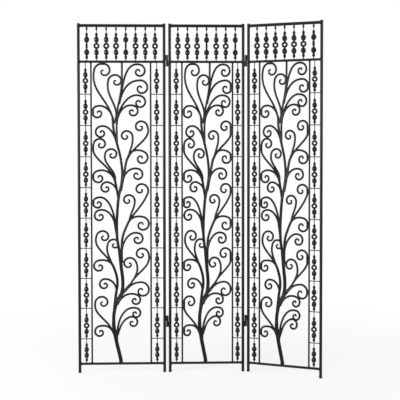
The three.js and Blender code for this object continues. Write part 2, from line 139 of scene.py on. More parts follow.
# Each bough: its thickness, then the points that it passes, from the middle of the bay.
BOUGHS = (
    (20, ((-3, 0), (-3, 20), (-26, 122), (-38, 198), (-38, 215))),
    (18, ((-38, 195), (-37, 258), (-21, 328), (4, 375), (9, 433), (1, 508), (-7, 588))),
    (15, ((-6, 580), (-18, 649), (-21, 713), (-19, 778), (-12, 865), (1, 930))),
    (13, ((0, 922), (8, 995), (1, 1073), (-14, 1138), (-28, 1190), (-37, 1242), (-40, 1290))),
    (11, ((-18, 1151), (-20, 1292), (-14, 1340), (-1, 1404), (7, 1472), (8, 1583))),
    (14, ((-36, 283), (-26, 368), (-19, 408), (-21, 453), (-36, 503), (-49, 528))),
    (13, ((1, 908), (14, 977), (29, 1060), (42, 1090))),
    (13, ((6, 533), (4, 573), (8, 660), (33, 730), (46, 754))),
    (13, ((-12, 865), (-19, 908), (-28, 956), (-32, 966))),
    (15, ((-37, 262), (-21, 318), (8, 368), (46, 414))),
    (13, ((-28, 127), (-36, 152), (-45, 172))),
    (13, ((-19, 669), (-27, 713), (-32, 747))),
    (11, ((-21, 112), (-21, 150))),
)
CLOCKWISE = 1
ANTICLOCKWISE = -1
# Each scroll: the root of its stem, the stem's lean, the eye of its curl, the radius and the angle
# at which the curl starts, and the way it winds.
SCROLLS = (
    ((-37, 1276), -12, (-85, 1531), 48, 167, CLOCKWISE),
    ((-33, 1262), 27, (-22, 1478), 40, 165, CLOCKWISE),
    ((-37, 1264), 1, (-113, 1314), 36, 109, ANTICLOCKWISE),
    ((-18, 1147), -10, (-98, 1211), 33, 115, ANTICLOCKWISE),
    ((-31, 964), -16, (-102, 1149), 35, 158, CLOCKWISE),
    ((-28, 956), 8, (-44, 1096), 35, 161, CLOCKWISE),
    ((-29, 956), -13, (-110, 976), 36, 118, ANTICLOCKWISE),
    ((-17, 895), -9, (-74, 921), 33, 72, ANTICLOCKWISE),
    ((-30, 743), -6, (-115, 840), 31, 118, ANTICLOCKWISE),
    ((-27, 713), -4, (-106, 774), 32, 111, ANTICLOCKWISE),
    ((-48, 526), -31, (-88, 665), 37, 160, CLOCKWISE),
    ((-44, 518), -18, (-34, 624), 33, 161, CLOCKWISE),
    ((3, 1412), 11, (94, 1530), 36, 75, CLOCKWISE),
    ((-5, 1364), 11, (104, 1443), 41, 88, CLOCKWISE),
    ((-15, 1300), 20, (96, 1368), 35, 64, CLOCKWISE),
    ((-18, 1258), 1, (61, 1321), 32, 75, CLOCKWISE),
    ((42, 1090), 33, (101, 1240), 35, 27, ANTICLOCKWISE),
    ((40, 1086), 12, (27, 1192), 34, 6, ANTICLOCKWISE),
    ((38, 1086), 15, (105, 1077), 37, 55, CLOCKWISE),
    ((11, 956), 5, (83, 990), 33, 71, CLOCKWISE),
    ((48, 758), 34, (102, 912), 40, -22, ANTICLOCKWISE),
    ((44, 752), 8, (37, 857), 35, -3, ANTICLOCKWISE),
    ((33, 730), 18, (108, 729), 41, 71, CLOCKWISE),
    ((5, 591), 3, (84, 653), 32, 64, CLOCKWISE),
    ((-36, 503), -20, (-110, 509), 33, 105, ANTICLOCKWISE),
    ((-23, 368), 5, (-84, 414), 30, 97, ANTICLOCKWISE),
    ((-46, 173), -24, (-94, 319), 38, 167, CLOCKWISE),
    ((-45, 170), -31, (-107, 164), 32, 103, ANTICLOCKWISE),
    ((46, 413), 26, (104, 573), 37, 18, ANTICLOCKWISE),
    ((46, 414), 33, (41, 523), 37, 25, ANTICLOCKWISE),
    ((19, 377), 38, (106, 382), 45, 93, CLOCKWISE),
    ((-16, 312), 20, (72, 331), 30, 64, CLOCKWISE),
    ((-20, 147), -1, (74, 261), 29, 73, CLOCKWISE),
    ((-19, 147), 20, (58, 213), 33, 114, CLOCKWISE),
)
CURL_TURN = 400  # degrees that every curl winds
CURL_END = 0.12  # its last radius, as a share of its first
CURL_CROWDING = 1.2  # over 1, its points lie closer at the start
CURL_STEPS = 46
BOUGH_STEPS = 8
STEM_STEPS = 16
STEM_PULL = 0.42  # how far a stem keeps its first and last direction, as a share of its length
TAPER = {"from": 0.6, "by": 0.18}  # shares of a scroll's length and of its thickness


class ScreenSizes(bpy.types.PropertyGroup):
    """The sizes of the screen's wrought parts."""

    rod: FloatProperty(name="Rod", description="Diameter of the rods between the beads",
                       default=4.4 * MM, min=2 * MM, max=6 * MM, precision=4, unit="LENGTH")
    neck: FloatProperty(name="Neck", description="Diameter of the necks between two beads",
                        default=9 * MM, min=4 * MM, max=12 * MM, precision=4, unit="LENGTH")
    small_bead: FloatProperty(name="Small Bead", description="Diameter of a spindle's small beads",
                              default=15.5 * MM, min=8 * MM, max=20 * MM, precision=4, unit="LENGTH")
    large_bead: FloatProperty(name="Large Bead", description="Diameter of a spindle's large beads",
                              default=28 * MM, min=14 * MM, max=30 * MM, precision=4, unit="LENGTH")
    tip_bead: FloatProperty(name="Tip Bead", description="Diameter of the bead under the top rail",
                            default=11 * MM, min=6 * MM, max=14 * MM, precision=4, unit="LENGTH")
    ring: FloatProperty(name="Ring", description="Outer diameter of a spindle's ring",
                        default=33 * MM, min=20 * MM, max=33 * MM, precision=4, unit="LENGTH")
    ring_hole: FloatProperty(name="Ring Hole", description="Diameter of the hole in a ring",
                             default=10.8 * MM, min=6 * MM, max=16 * MM, precision=4, unit="LENGTH")
    ring_depth: FloatProperty(name="Ring Depth", description="Thickness of a ring seen edge-on",
                              default=10 * MM, min=4 * MM, max=12 * MM, precision=4, unit="LENGTH")
    facet_depth: FloatProperty(name="Facet Depth", description="How much the six facets of a bead are cut in",
                               default=0.11, min=0, max=0.13, subtype="FACTOR")
    wire: FloatProperty(name="Cross Wire", description="Diameter of the wires across the side ladders",
                        default=4.8 * MM, min=2 * MM, max=5 * MM, precision=4, unit="LENGTH")
    scroll_bar: FloatProperty(name="Scroll Bar", description="Diameter of the bar the scrolls are bent from",
                              default=11 * MM, min=5 * MM, max=12 * MM, precision=4, unit="LENGTH")
    weld: FloatProperty(name="Weld", description="Radius of the weld beads round the frame's rails",
                        default=2.4 * MM, min=1 * MM, max=4 * MM, precision=4, unit="LENGTH")
    sides: IntProperty(name="Sides", description="Sides of a tube's section", default=40, min=16, max=64)


class ScreenFinish(bpy.types.PropertyGroup):
    """The colours and surfaces of the screen."""

    coat: FloatVectorProperty(name="Coat", description="Colour of the powder coat", subtype="COLOR",
                              size=3, min=0, max=1, default=(0.0055, 0.0055, 0.006))
    dust: FloatVectorProperty(name="Dust", description="Colour of the fine dust on upward faces",
                              subtype="COLOR", size=3, min=0, max=1, default=(0.013, 0.0128, 0.0123))
    roughness: FloatProperty(name="Roughness", description="Roughness of the powder coat", default=0.33,
                             min=0, max=1, subtype="FACTOR")
    peel: FloatProperty(name="Orange Peel", description="Depth of the fine waves in the powder coat",
                        default=0.05 * MM, min=0, max=0.3 * MM, precision=6, unit="LENGTH")
    caps: FloatVectorProperty(name="Foot Caps", description="Colour of the moulded foot caps",
                              subtype="COLOR", size=3, min=0, max=1, default=(0.011, 0.011, 0.012))


class ScreenStage(bpy.types.PropertyGroup):
    """The camera and the light."""

    lens: FloatProperty(name="Lens", description="Focal length on a 36 mm frame", default=71.52,
                        min=20, max=200)
    camera_place: FloatVectorProperty(name="Camera", description="Where the camera stands", size=3,
                                      subtype="TRANSLATION", unit="LENGTH",
                                      default=(-0.1136, -4.0967, 1.1922))
    yaw: FloatProperty(name="Yaw", description="Turn of the camera to its left", subtype="ANGLE",
                       default=-0.02941)
    pitch: FloatProperty(name="Pitch", description="Tilt of the camera upwards", subtype="ANGLE",
                         default=-0.02801)
    roll: FloatProperty(name="Roll", description="Roll of the camera", subtype="ANGLE", default=-0.0009)
    shift: FloatProperty(name="Shift", description="Vertical shift of the lens", default=-0.08)
    key_power: FloatProperty(name="Key Light", description="Power of the large light at the front left",
                             default=170, min=0, unit="POWER")
    fill_power: FloatProperty(name="Fill Light", description="Power of the soft light at the front right",
                              default=35, min=0, unit="POWER")
    sky: FloatProperty(name="Sky Light", description="Strength of the even light from all round",
                       default=0.42, min=0, max=2)
    floor: FloatVectorProperty(name="Floor", description="Colour of the floor", subtype="COLOR", size=3,
                               min=0, max=1, default=(0.9, 0.9, 0.9))


# ---- Shapes, in millimetres ------------------------------------------------------------------------
class Shape:
    """The skins of one piece."""

    def __init__(self):
        self.points = []
        self.faces = []

    def skin(self, rings, looped=False):
        """Joins rings of points. Without a loop the two ends are closed with flat caps."""
        base = len(self.points)
        sides = len(rings[0])
        for ring in rings:
            self.points.extend(ring)
        for i in range(len(rings) if looped else len(rings) - 1):
            here = base + i * sides
            there = base + (i + 1) % len(rings) * sides
            for j in range(sides):
                k = (j + 1) % sides
                self.faces.append((here + j, here + k, there + k, there + j))
        if not looped:
            last = base + (len(rings) - 1) * sides
            self.faces.append(tuple(reversed(range(base, base + sides))))
            self.faces.append(tuple(range(last, last + sides)))

    def turned(self, outline, sides, x=0.0, looped=False):
        """A turned solid about a vertical line: (radius, height) pairs, or with a facet depth third.

        A looped outline is closed in itself, which leaves a bore down the middle.
        """
        rings = []
        for radius, height, *cut in outline:
            depth = cut[0] if cut else 0
            ring = []
            for j in range(sides):
                angle = math.tau * j / sides
                reach = radius * (1 - depth * abs(math.cos(BEAD_FACETS / 2 * angle)))
                ring.append(Vector((x + reach * math.cos(angle), reach * math.sin(angle), height)))
            rings.append(ring)
        self.skin(rings, looped)

    def pipe(self, outline, sides):
        """A tube about X: a closed outline of (radius, x) pairs, its ends coped to the stiles."""
        low = min(x for _, x in outline)
        high = max(x for _, x in outline)
        rings = []
        for radius, x in outline:
            ring = []
            for j in range(sides):
                angle = math.tau * j / sides
                y = radius * math.cos(angle)
                outward = -1 if x < (low + high) / 2 else 1
                ring.append(Vector((x + outward * saddle_depth(y), y, radius * math.sin(angle))))
            rings.append(ring)
        self.skin(rings, looped=True)

    def bar(self, path, radii, sides, facing, looped=False):
        """A round bar along a path. facing(i) is a direction across the path at its point i."""
        if not looped:
            path, radii, facing = rounded_ends(path, radii, facing)
        rings = []
        count = len(path)
        for i, (point, radius) in enumerate(zip(path, radii)):
            if looped:
                along = path[(i + 1) % count] - path[i - 1]
            else:
                along = path[min(i + 1, count - 1)] - path[max(i - 1, 0)]
            across = along.cross(facing(i)).normalized()
            out = across.cross(along).normalized()
            ring = []
            for j in range(sides):
                angle = math.tau * j / sides
                ring.append(point + radius * (math.cos(angle) * out + math.sin(angle) * across))
            rings.append(ring)
        self.skin(rings, looped)

    def moved(self, matrix, start=0):
        """Moves the points added since start."""
        for i in range(start, len(self.points)):
            self.points[i] = matrix @ self.points[i]


def saddle_depth(y):
    """How far the side of a stile falls away from its nearest line to a rail, y off its middle."""
    radius = STILE["diameter"] / 2
    inside = max(radius ** 2 - y * y, 0.0)
    return min(radius - math.sqrt(inside), DEEPEST_COPE * radius)


def rounded_ends(path, radii, facing):
    """A path with small steps added so that a bar's ends are domed."""
    steps = (75, 50, 25)
    first = (path[0] - path[1]).normalized()
    last = (path[-1] - path[-2]).normalized()
    count = len(path)
    head = [path[0] + first * radii[0] * math.sin(math.radians(a)) for a in steps]
    head_radii = [radii[0] * math.cos(math.radians(a)) for a in steps]
    tail = [path[-1] + last * radii[-1] * math.sin(math.radians(a)) for a in reversed(steps)]
    tail_radii = [radii[-1] * math.cos(math.radians(a)) for a in reversed(steps)]

    def shifted(i):
        return facing(min(max(i - len(steps), 0), count - 1))

    return head + list(path) + tail, head_radii + list(radii) + tail_radii, shifted


def smooth_line(points, steps):
    """A smooth line through points, with that many steps between two of them."""
    line = []
    for i in range(len(points) - 1):
        before = points[max(i - 1, 0)]
        start, end = points[i], points[i + 1]
        after = points[min(i + 2, len(points) - 1)]
        for step in range(steps):
            t = step / steps
            line.append(0.5 * ((2 * start) + (end - before) * t
                               + (2 * before - 5 * start + 4 * end - after) * t * t
                               + (3 * start - before - 3 * end + after) * t ** 3))
    line.append(points[-1].copy())
    return line


# ---- Places ----------------------------------------------------------------------------------------
def panel_place(panel):
    """The frame of a panel, with its left stile on the Z axis, and its width in millimetres."""
    left_low, left_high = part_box(f"{panel}_left_foot")
    right_low, right_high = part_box(f"{panel}_right_foot")
    left = (left_low + left_high) / 2
    right = (right_low + right_high) / 2
    along = Vector((right.x - left.x, right.y - left.y, 0))
    turn = Matrix.Rotation(math.atan2(along.y, along.x), 4, "Z")
    return Matrix.Translation((left.x, left.y, 0)) @ turn, along.length / MM


def each_panel():
    """Every panel with its frame and its width. A panel too narrow for its ladders is an error."""
    for panel in PANELS:
        place, width = panel_place(panel)
        if width < NARROWEST_PANEL:
            raise RuntimeError(f"the {panel} panel is too narrow to build")
        yield panel, place, width


def middle_height(node):
    """The height of a rail's middle, in millimetres."""
    low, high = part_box(node)
    return (low.z + high.z) / 2 / MM


def span_of_bay():
    """The heights of the bottom rail and the frieze rail, and the bay between them."""
    bottom = middle_height("middle_bottom_rail")
    frieze = middle_height("middle_frieze_rail")
    room = RAIL["diameter"] / 2 + GAP
    return bottom, frieze, bottom + room, frieze - room


def wire_heights():
    """The heights of the cross wires, which stretch with the bay."""
    bottom, frieze, _, _ = span_of_bay()
    stretch = (frieze - bottom) / BAY["height"]
    return [bottom + height * stretch for height in WIRE_HEIGHTS]


def side_places(panel, side, width):
    """Where a side's stile, inner bar and beaded drop stand, and which way is into the panel."""
    layout = PANELS[panel]
    if side == "left":
        return 0, layout["bars"][0], layout["drops"][0], 1
    return width, width - layout["bars"][1], width - layout["drops"][1], -1


def spindle_x(panel, number):
    """How far a spindle stands from its panel's left stile."""
    place, _ = panel_place(panel)
    low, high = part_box(f"{panel}_spindle_{number}")
    return (place.inverted() @ ((low + high) / 2)).x / MM


def make_piece(name, shape, place, panel, material, replaced, sharp=50):
    """Makes a shape into a piece that rides on a panel. Edges over sharp degrees stay sharp."""
    mesh = bpy.data.meshes.new(name)
    mesh.from_pydata([point * MM for point in shape.points], [], shape.faces)
    work = bmesh.new()
    work.from_mesh(mesh)
    bmesh.ops.recalc_face_normals(work, faces=work.faces)
    work.to_mesh(mesh)
    work.free()
    mesh.polygons.foreach_set("use_smooth", [True] * len(mesh.polygons))
    mesh.set_sharp_from_angle(angle=math.radians(sharp))
    mesh.materials.append(material)
    piece = bpy.data.objects.new(name, mesh)
    bpy.context.scene.collection.objects.link(piece)
    piece.matrix_world = place
    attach(piece, f"{panel}_panel")
    if replaced:
        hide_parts(*replaced)


# ---- Materials -------------------------------------------------------------------------------------
def add_node(tree, kind, **values):
    node = tree.nodes.new(kind)
    for key, value in values.items():
        if key in node.inputs:
            node.inputs[key].default_value = value
        else:
            setattr(node, key, value)
    return node


def noise(tree, where, scale, detail=2.0):
    texture = add_node(tree, "ShaderNodeTexNoise", Scale=scale, Detail=detail)
    tree.links.new(where, texture.inputs["Vector"])
    return texture.outputs["Fac"]


def ranged(tree, value, low, high, start=0.3, end=0.7):
    node = tree.nodes.new("ShaderNodeMapRange")
    node.inputs["From Min"].default_value = start
    node.inputs["From Max"].default_value = end
    node.inputs["To Min"].default_value = low
    node.inputs["To Max"].default_value = high
    tree.links.new(value, node.inputs["Value"])
    return node.outputs["Result"]


def mixed(tree, factor, first, second):
    """A colour between two, each a socket or a colour."""
    node = tree.nodes.new("ShaderNodeMix")
    node.data_type = "RGBA"
    tree.links.new(factor, node.inputs["Factor"])
    for name, colour in (("A", first), ("B", second)):
        socket = [s for s in node.inputs if s.name == name and s.type == "RGBA"][0]
        if isinstance(colour, bpy.types.NodeSocket):
            tree.links.new(colour, socket)
        else:
            socket.default_value = (*colour, 1)
    return [s for s in node.outputs if s.type == "RGBA"][0]


def bumped(tree, height, distance, under=None, strength=1.0):
    node = add_node(tree, "ShaderNodeBump", Strength=strength, Distance=distance)
    tree.links.new(height, node.inputs["Height"])
    if under is not None:
        tree.links.new(under, node.inputs["Normal"])
    return node.outputs["Normal"]


def shade(colour, factor):
    return tuple(min(part * factor, 1) for part in colour)


def powder_coat(finish, name="powder_coat", lumps=0.0):
    """Satin black powder coat: fine orange peel, uneven gloss and a little dust on upward faces."""
    if name in bpy.data.materials:
        return bpy.data.materials[name]
    material = bpy.data.materials.new(name)
    material.use_nodes = True
    tree = material.node_tree
    coat = tree.nodes["Principled BSDF"]
    coat.inputs["Specular IOR Level"].default_value = 0.24
    where = tree.nodes.new("ShaderNodeTexCoord").outputs["Object"]

    clouds = noise(tree, where, 9, 3)
    grain = noise(tree, where, 260, 2)
    peel = noise(tree, where, 620, 2)
    tone = mixed(tree, ranged(tree, clouds, 0, 1), shade(finish.coat, 0.8), shade(finish.coat, 1.2))
    facing = tree.nodes.new("ShaderNodeSeparateXYZ")
    geometry = tree.nodes.new("ShaderNodeNewGeometry")
    tree.links.new(geometry.outputs["Normal"], facing.inputs["Vector"])
    upward = ranged(tree, facing.outputs["Z"], 0, 1, 0.55, 1)
    patches = ranged(tree, noise(tree, where, 45, 4), 0, 0.55, 0.42, 0.7)
    settled = add_node(tree, "ShaderNodeMath", operation="MULTIPLY")
    tree.links.new(upward, settled.inputs[0])
    tree.links.new(patches, settled.inputs[1])
    tree.links.new(mixed(tree, settled.outputs[0], tone, finish.dust), coat.inputs["Base Color"])

    gloss = add_node(tree, "ShaderNodeMath", operation="ADD")
    tree.links.new(ranged(tree, clouds, finish.roughness - 0.05, finish.roughness + 0.05), gloss.inputs[0])
    tree.links.new(ranged(tree, grain, -0.03, 0.05), gloss.inputs[1])
    tree.links.new(gloss.outputs[0], coat.inputs["Roughness"])

    normal = bumped(tree, peel, finish.peel, strength=0.55)
    if lumps:
        normal = bumped(tree, noise(tree, where, 330, 2), lumps, normal, 0.8)
    tree.links.new(normal, coat.inputs["Normal"])
    return material


def moulded_cap(finish):
    """Matt black plastic with the fine grain of a mould and a few scuffs."""
    material = bpy.data.materials.new("moulded_cap")
    material.use_nodes = True
    tree = material.node_tree
    plastic = tree.nodes["Principled BSDF"]
    plastic.inputs["Specular IOR Level"].default_value = 0.35
    where = tree.nodes.new("ShaderNodeTexCoord").outputs["Object"]
    grain = noise(tree, where, 900, 2)
    scuffs = ranged(tree, noise(tree, where, 190, 4), 0, 0.7, 0.52, 0.72)
    colour = mixed(tree, scuffs, shade(finish.caps, 0.9), shade(finish.caps, 2.4))
    tree.links.new(colour, plastic.inputs["Base Color"])
    tree.links.new(ranged(tree, grain, 0.58, 0.74), plastic.inputs["Roughness"])
    tree.links.new(bumped(tree, grain, 0.05 * MM, strength=0.6), plastic.inputs["Normal"])
    return material


# ---- Frame -----------------------------------------------------------------------------------------
def stile_shape(height, bottom, sides):
    """An upright tube, open at the foot and closed by a low dome at the top."""
    outer = STILE["diameter"] / 2
    inner = STILE["bore"] / 2
    shape = Shape()
    outline = [
        (inner, height - 3.4), (inner, bottom + 0.3), (inner + 0.3, bottom), (outer - 0.35, bottom),
        (outer, bottom + 0.4), (outer, height - 3.2), (outer - 0.15, height - 2.2),
        (outer - 0.7, height - 1.2), (outer - 1.6, height - 0.5), (outer - 2.8, height - 0.1),
        (outer - 4, height),
    ]
    shape.turned(outline, sides)
    return shape


def rail_shape(section, width, sides):
    """A rail from stile to stile, its ends coped to the stiles' round sides."""
    outer = section["diameter"] / 2
    inner = section["bore"] / 2
    start = STILE["diameter"] / 2 + 0.05
    end = width - start
    shape = Shape()
    shape.pipe([(inner, start), (outer, start), (outer, end), (inner, end)], sides)
    return shape


def foot_shape():
    """A cap with rounded edges, and the grooved stem that holds it in its stile."""
    radius = FOOT["diameter"] / 2
    stem = FOOT["stem"] / 2
    top = FOOT["height"]
    outline = [
        (4.9, 0.25), (5.4, 0), (6.3, 0.15), (7.3, 0.7), (8, 1.6), (radius - 0.1, 2.8), (radius, 4),
        (radius, top - 0.6), (radius - 0.2, top - 0.15), (radius - 0.6, top), (stem + 0.1, top),
        (stem, top + 0.3), (stem, top + 5), (stem - 0.35, top + 5.5), (stem, top + 6),
        (stem, top + FOOT["stem_length"] - 1), (stem - 1, top + FOOT["stem_length"]),
    ]
    shape = Shape()
    shape.turned(outline, SIDES["foot"])
    return shape


# ---- Beads -----------------------------------------------------------------------------------------
def bead_items(kinds, bottom, scale=1.0):
    """The beads of a group from the bottom up as (kind, low, high), and the height of its top."""
    items = []
    low = bottom
    for kind in kinds:
        high = low + BEAD_HEIGHT[kind] * scale
        items.append((kind, low, high))
        low = high
    return items, low


def bead_outline(sizes, kind, low, high, scale, below, above):
    """The outline of one bead from the neck below it to the neck above it."""
    diameters = {"tip": sizes.tip_bead, "small": sizes.small_bead, "large": sizes.large_bead}
    widest = diameters[kind] / 2 / MM
    outline = []
    for step in range(BEAD_STEPS[kind] + 1):
        t = step / BEAD_STEPS[kind]
        swell = math.sin(math.pi * t ** BEAD_LOWNESS) ** BEAD_FULLNESS[kind]
        neck = below + (above - below) * t
        radius = neck + (widest * scale - neck) * swell
        cut = sizes.facet_depth * swell if kind == "large" else 0
        outline.append((radius, low + (high - low) * t, cut))
    return outline


def add_strand(shape, sizes, items, scale, sides, x=0.0):
    """Beads, rods and rings from the bottom up on one vertical line."""
    rod = sizes.rod / 2 / MM
    neck = sizes.neck / 2 / MM * scale
    outline = []
    for i, (kind, low, high) in enumerate(items):
        if kind == "rod":
            outline += [(rod, low), (rod, high)]
        elif kind == "neck":
            width = TIP_NECK["width"] * neck
            outline += [(width, low), (width, high)]
        elif kind == "ring":
            middle = (low + high) / 2
            reach = sizes.ring / 2 / MM * scale - RING_ROOT
            outline.append((neck, middle - reach))
            shape.turned(outline, sides, x)
            add_ring(shape, sizes, x, middle, scale)
            outline = [(neck, middle + reach)]
        else:
            under = items[i - 1][0] if i else "rod"
            over = items[i + 1][0] if i + 1 < len(items) else "rod"
            below = rod if under == "rod" else neck
            above = rod if over == "rod" else neck
            outline += bead_outline(sizes, kind, low, high, scale, below, above)
    outline = [point for i, point in enumerate(outline) if i == 0 or point[1] > outline[i - 1][1] + 0.01]
    shape.turned(outline, sides, x)


def add_ring(shape, sizes, x, height, scale):
    """A cast ring that faces the front, oval in section."""
    outer = sizes.ring / 2 / MM * scale
    inner = sizes.ring_hole / 2 / MM * scale
    middle = (outer + inner) / 2
    half = (outer - inner) / 2
    depth = sizes.ring_depth / 2 / MM * scale
    centre = Vector((x, 0, height))
    rings = []
    for i in range(RING_STEPS):
        angle = math.tau * i / RING_STEPS
        out = Vector((math.cos(angle), 0, math.sin(angle)))
        ring = []
        for j in range(SIDES["ring"]):
            turn = math.tau * j / SIDES["ring"]
            reach = middle + half * math.cos(turn)
            back = math.copysign(abs(math.sin(turn)) ** RING_FLATNESS, math.sin(turn))
            ring.append(centre + out * reach + Vector((0, depth * back, 0)))
        rings.append(ring)
    shape.skin(rings, looped=True)


def spindle_shape(sizes, bottom, top):
    """A beaded spindle with one ring, and a tip under the top rail."""
    items = [("rod", bottom, bottom + SPINDLE_FOOT)]
    group, group_top = bead_items(BEAD_GROUP, bottom + SPINDLE_FOOT)
    tip_top = top - TIP_NECK["height"]
    tip_low = tip_top - BEAD_HEIGHT["tip"]
    items += [*group, ("rod", group_top, tip_low), ("tip", tip_low, tip_top), ("neck", tip_top, top)]
    shape = Shape()
    add_strand(shape, sizes, items, 1.0, SIDES["spindle"])
    return shape


def add_drop(shape, sizes, x):
    """A beaded drop from the bottom rail to the frieze rail."""
    _, _, bay_low, bay_high = span_of_bay()
    items = []
    low = bay_low
    for start in (bay_low, *wire_heights()):
        kinds = SHORT_GROUP if start == bay_low else BEAD_GROUP
        group, group_top = bead_items(kinds, start + DROP_FOOT, DROP_SCALE)
        items += [("rod", low, start + DROP_FOOT), *group]
        low = group_top
    items.append(("rod", low, bay_high))
    add_strand(shape, sizes, items, DROP_SCALE, SIDES["drop"], x)


def ladder_shape(sizes, panel, side, width):
    """One side of a panel: inner bar, beaded drop and the wires across them."""
    _, _, bay_low, bay_high = span_of_bay()
    stile_x, bar_x, drop_x, inward = side_places(panel, side, width)
    shape = Shape()
    radius = INNER_BAR / 2
    bar = [(radius - 0.3, bay_low), (radius, bay_low + 0.4), (radius, bay_high - 0.4),
           (radius - 0.3, bay_high)]
    shape.turned(bar, SIDES["inner_bar"], bar_x)
    add_drop(shape, sizes, drop_x)
    thin = sizes.wire / 2 / MM
    start = stile_x + inward * (STILE["diameter"] / 2 + GAP + thin)
    for height in wire_heights():
        path = [Vector((start + (bar_x - start) * t / 4, 0, height)) for t in range(5)]
        shape.bar(path, [thin] * len(path), SIDES["wire"], lambda i: BACK)
    return shape


# ---- Scrolled tree ---------------------------------------------------------------------------------
def tree_placer(panel, width):
    """A function from the tree's own points to a panel's, which keeps a bar of some radius in the bay."""
    bottom, frieze, bay_low, bay_high = span_of_bay()
    layout = PANELS[panel]
    bay_width = width - sum(layout["bars"])
    middle = layout["bars"][0] + bay_width / 2
    wide = bay_width / BAY["width"]
    stretch = (frieze - bottom) / BAY["height"]

    def place(x, z, room):
        reach = bay_width / 2 - INNER_BAR / 2 - GAP - room
        lean = layout["tree_lean"] * (z - BAY["height"] / 2)
        across = (x * layout["tree_spread"] + layout["tree_shift"] + lean) * wide
        height = min(max(bottom + z * stretch + TREE_RAISE, bay_low + room), bay_high - room)
        return Vector((middle + min(max(across, -reach), reach), 0, height))

    return place


def scroll_line(scroll):
    """The stem and the curl of one scroll as (x, z) points of the tree."""
    root, lean, eye, radius, start_angle, winds = scroll
    curl = []
    for step in range(CURL_STEPS + 1):
        share = (step / CURL_STEPS) ** CURL_CROWDING
        angle = math.radians(start_angle - winds * share * CURL_TURN)
        reach = radius * (1 - (1 - CURL_END) * share)
        curl.append(Vector((eye[0] + reach * math.cos(angle), eye[1] + reach * math.sin(angle))))
    first = Vector(root)
    last = curl[0]
    pull = STEM_PULL * (last - first).length
    leaving = math.radians(lean)
    starting = math.radians(start_angle)
    second = first + pull * Vector((math.sin(leaving), math.cos(leaving)))
    third = last - pull * Vector((winds * math.sin(starting), -winds * math.cos(starting)))
    stem = []
    for step in range(STEM_STEPS):
        t = step / STEM_STEPS
        s = 1 - t
        stem.append(s ** 3 * first + 3 * s * s * t * second + 3 * s * t * t * third + t ** 3 * last)
    return stem + curl


def tree_shape(sizes, place):
    """Boughs of two bars laid side by side, and a scroll of one bar at each stem."""
    shape = Shape()
    for thick, points in BOUGHS:
        line = smooth_line([place(x, z, 0) for x, z in points], BOUGH_STEPS)
        single = thick < ONE_BAR_UNDER
        radius = thick * (0.5 if single else BAR_RADIUS)
        for offset in (0,) if single else (-BAR_OFFSET, BAR_OFFSET):
            path = []
            for i, point in enumerate(line):
                along = line[min(i + 1, len(line) - 1)] - line[max(i - 1, 0)]
                path.append(point + along.cross(BACK).normalized() * offset * thick)
            shape.bar(path, [radius] * len(path), SIDES["tree"], lambda i: BACK)
    radius = sizes.scroll_bar / 2 / MM
    for scroll in SCROLLS:
        path = [place(point.x, point.y, radius) for point in scroll_line(scroll)]
        radii = []
        for i in range(len(path)):
            past = max(0.0, i / (len(path) - 1) - TAPER["from"]) / (1 - TAPER["from"])
            radii.append(radius * (1 - TAPER["by"] * past))
        shape.bar(path, radii, SIDES["tree"], lambda i: BACK)
    return shape


# ---- Hinges ----------------------------------------------------------------------------------------
def add_hinge_welds(shape, side, low, high):
    """The two runs of weld, front and back, that hold a barrel to the stile beside it."""
    steps = HINGE_WELD["steps"]
    ripple = HINGE_WELD["ripple_steps"]
    start = low + HINGE_WELD["end_room"]
    rise = (high - low - 2 * HINGE_WELD["end_room"]) / steps
    x = side * (HINGE["barrel"] / 2 + 0.15)
    for y in (-HINGE_WELD["off_middle"], HINGE_WELD["off_middle"]):
        path = [Vector((x, y, start + rise * i)) for i in range(steps + 1)]
        radii = [HINGE_WELD["radius"] + HINGE_WELD["ripple"] * math.cos(math.tau * i / ripple)
                 for i in range(steps + 1)]
        shape.bar(path, radii, SIDES["hinge_weld"], lambda i: BACK)


def socket_shape(side, height):
    """The upper half of a hinge, a barrel open at both ends."""
    outer = HINGE["barrel"] / 2
    inner = HINGE["bore"] / 2
    low = height + HINGE["parting"] / 2
    high = height + HINGE["half"]
    shape = Shape()
    shape.turned([
        (inner + 0.4, low), (outer - 0.5, low), (outer, low + 0.5), (outer, high - 0.9),
        (outer - 0.9, high), (inner + 0.5, high), (inner, high - 0.5), (inner, low + 0.4),
    ], SIDES["hinge"], looped=True)
    add_hinge_welds(shape, side, low, high)
    return shape


def pin_shape(side, height):
    """The lower half of a hinge, a barrel with the pin that stands out of it."""
    outer = HINGE["barrel"] / 2
    pin = HINGE["pin"] / 2 * math.cos(math.pi / 8)
    low = height - HINGE["half"]
    high = height - HINGE["parting"] / 2
    tip = height + HINGE["pin_length"]
    shape = Shape()
    shape.turned([
        (outer - 1.6, low), (outer - 0.9, low + 0.1), (outer, low + 0.9), (outer, high - 0.5),
        (outer - 0.5, high), (pin + 0.15, high), (pin, high + 0.2), (pin, tip - 1.5),
        (pin - 0.4, tip - 0.7), (pin - 1.1, tip),
    ], SIDES["hinge"])
    add_hinge_welds(shape, side, low, high)
    return shape


# ---- Welds -----------------------------------------------------------------------------------------
def add_rail_weld(shape, rail_radius, size, x, height, side):
    """The weld bead round the end of a rail, lying in the saddle between rail and stile."""
    path = []
    radii = []
    for i in range(RAIL_WELD_STEPS):
        angle = math.tau * i / RAIL_WELD_STEPS
        y = rail_radius * math.cos(angle)
        away = STILE["diameter"] / 2 - saddle_depth(y) + 0.3
        path.append(Vector((x + side * away, y, height + rail_radius * math.sin(angle))))
        radii.append(size * (1 + 0.1 * math.cos(9 * angle) + 0.05 * math.cos(23 * angle + 1)))
    centre = Vector((x, 0, height))
    shape.bar(path, radii, SIDES["rail_weld"], lambda i: path[i] - centre, looped=True)


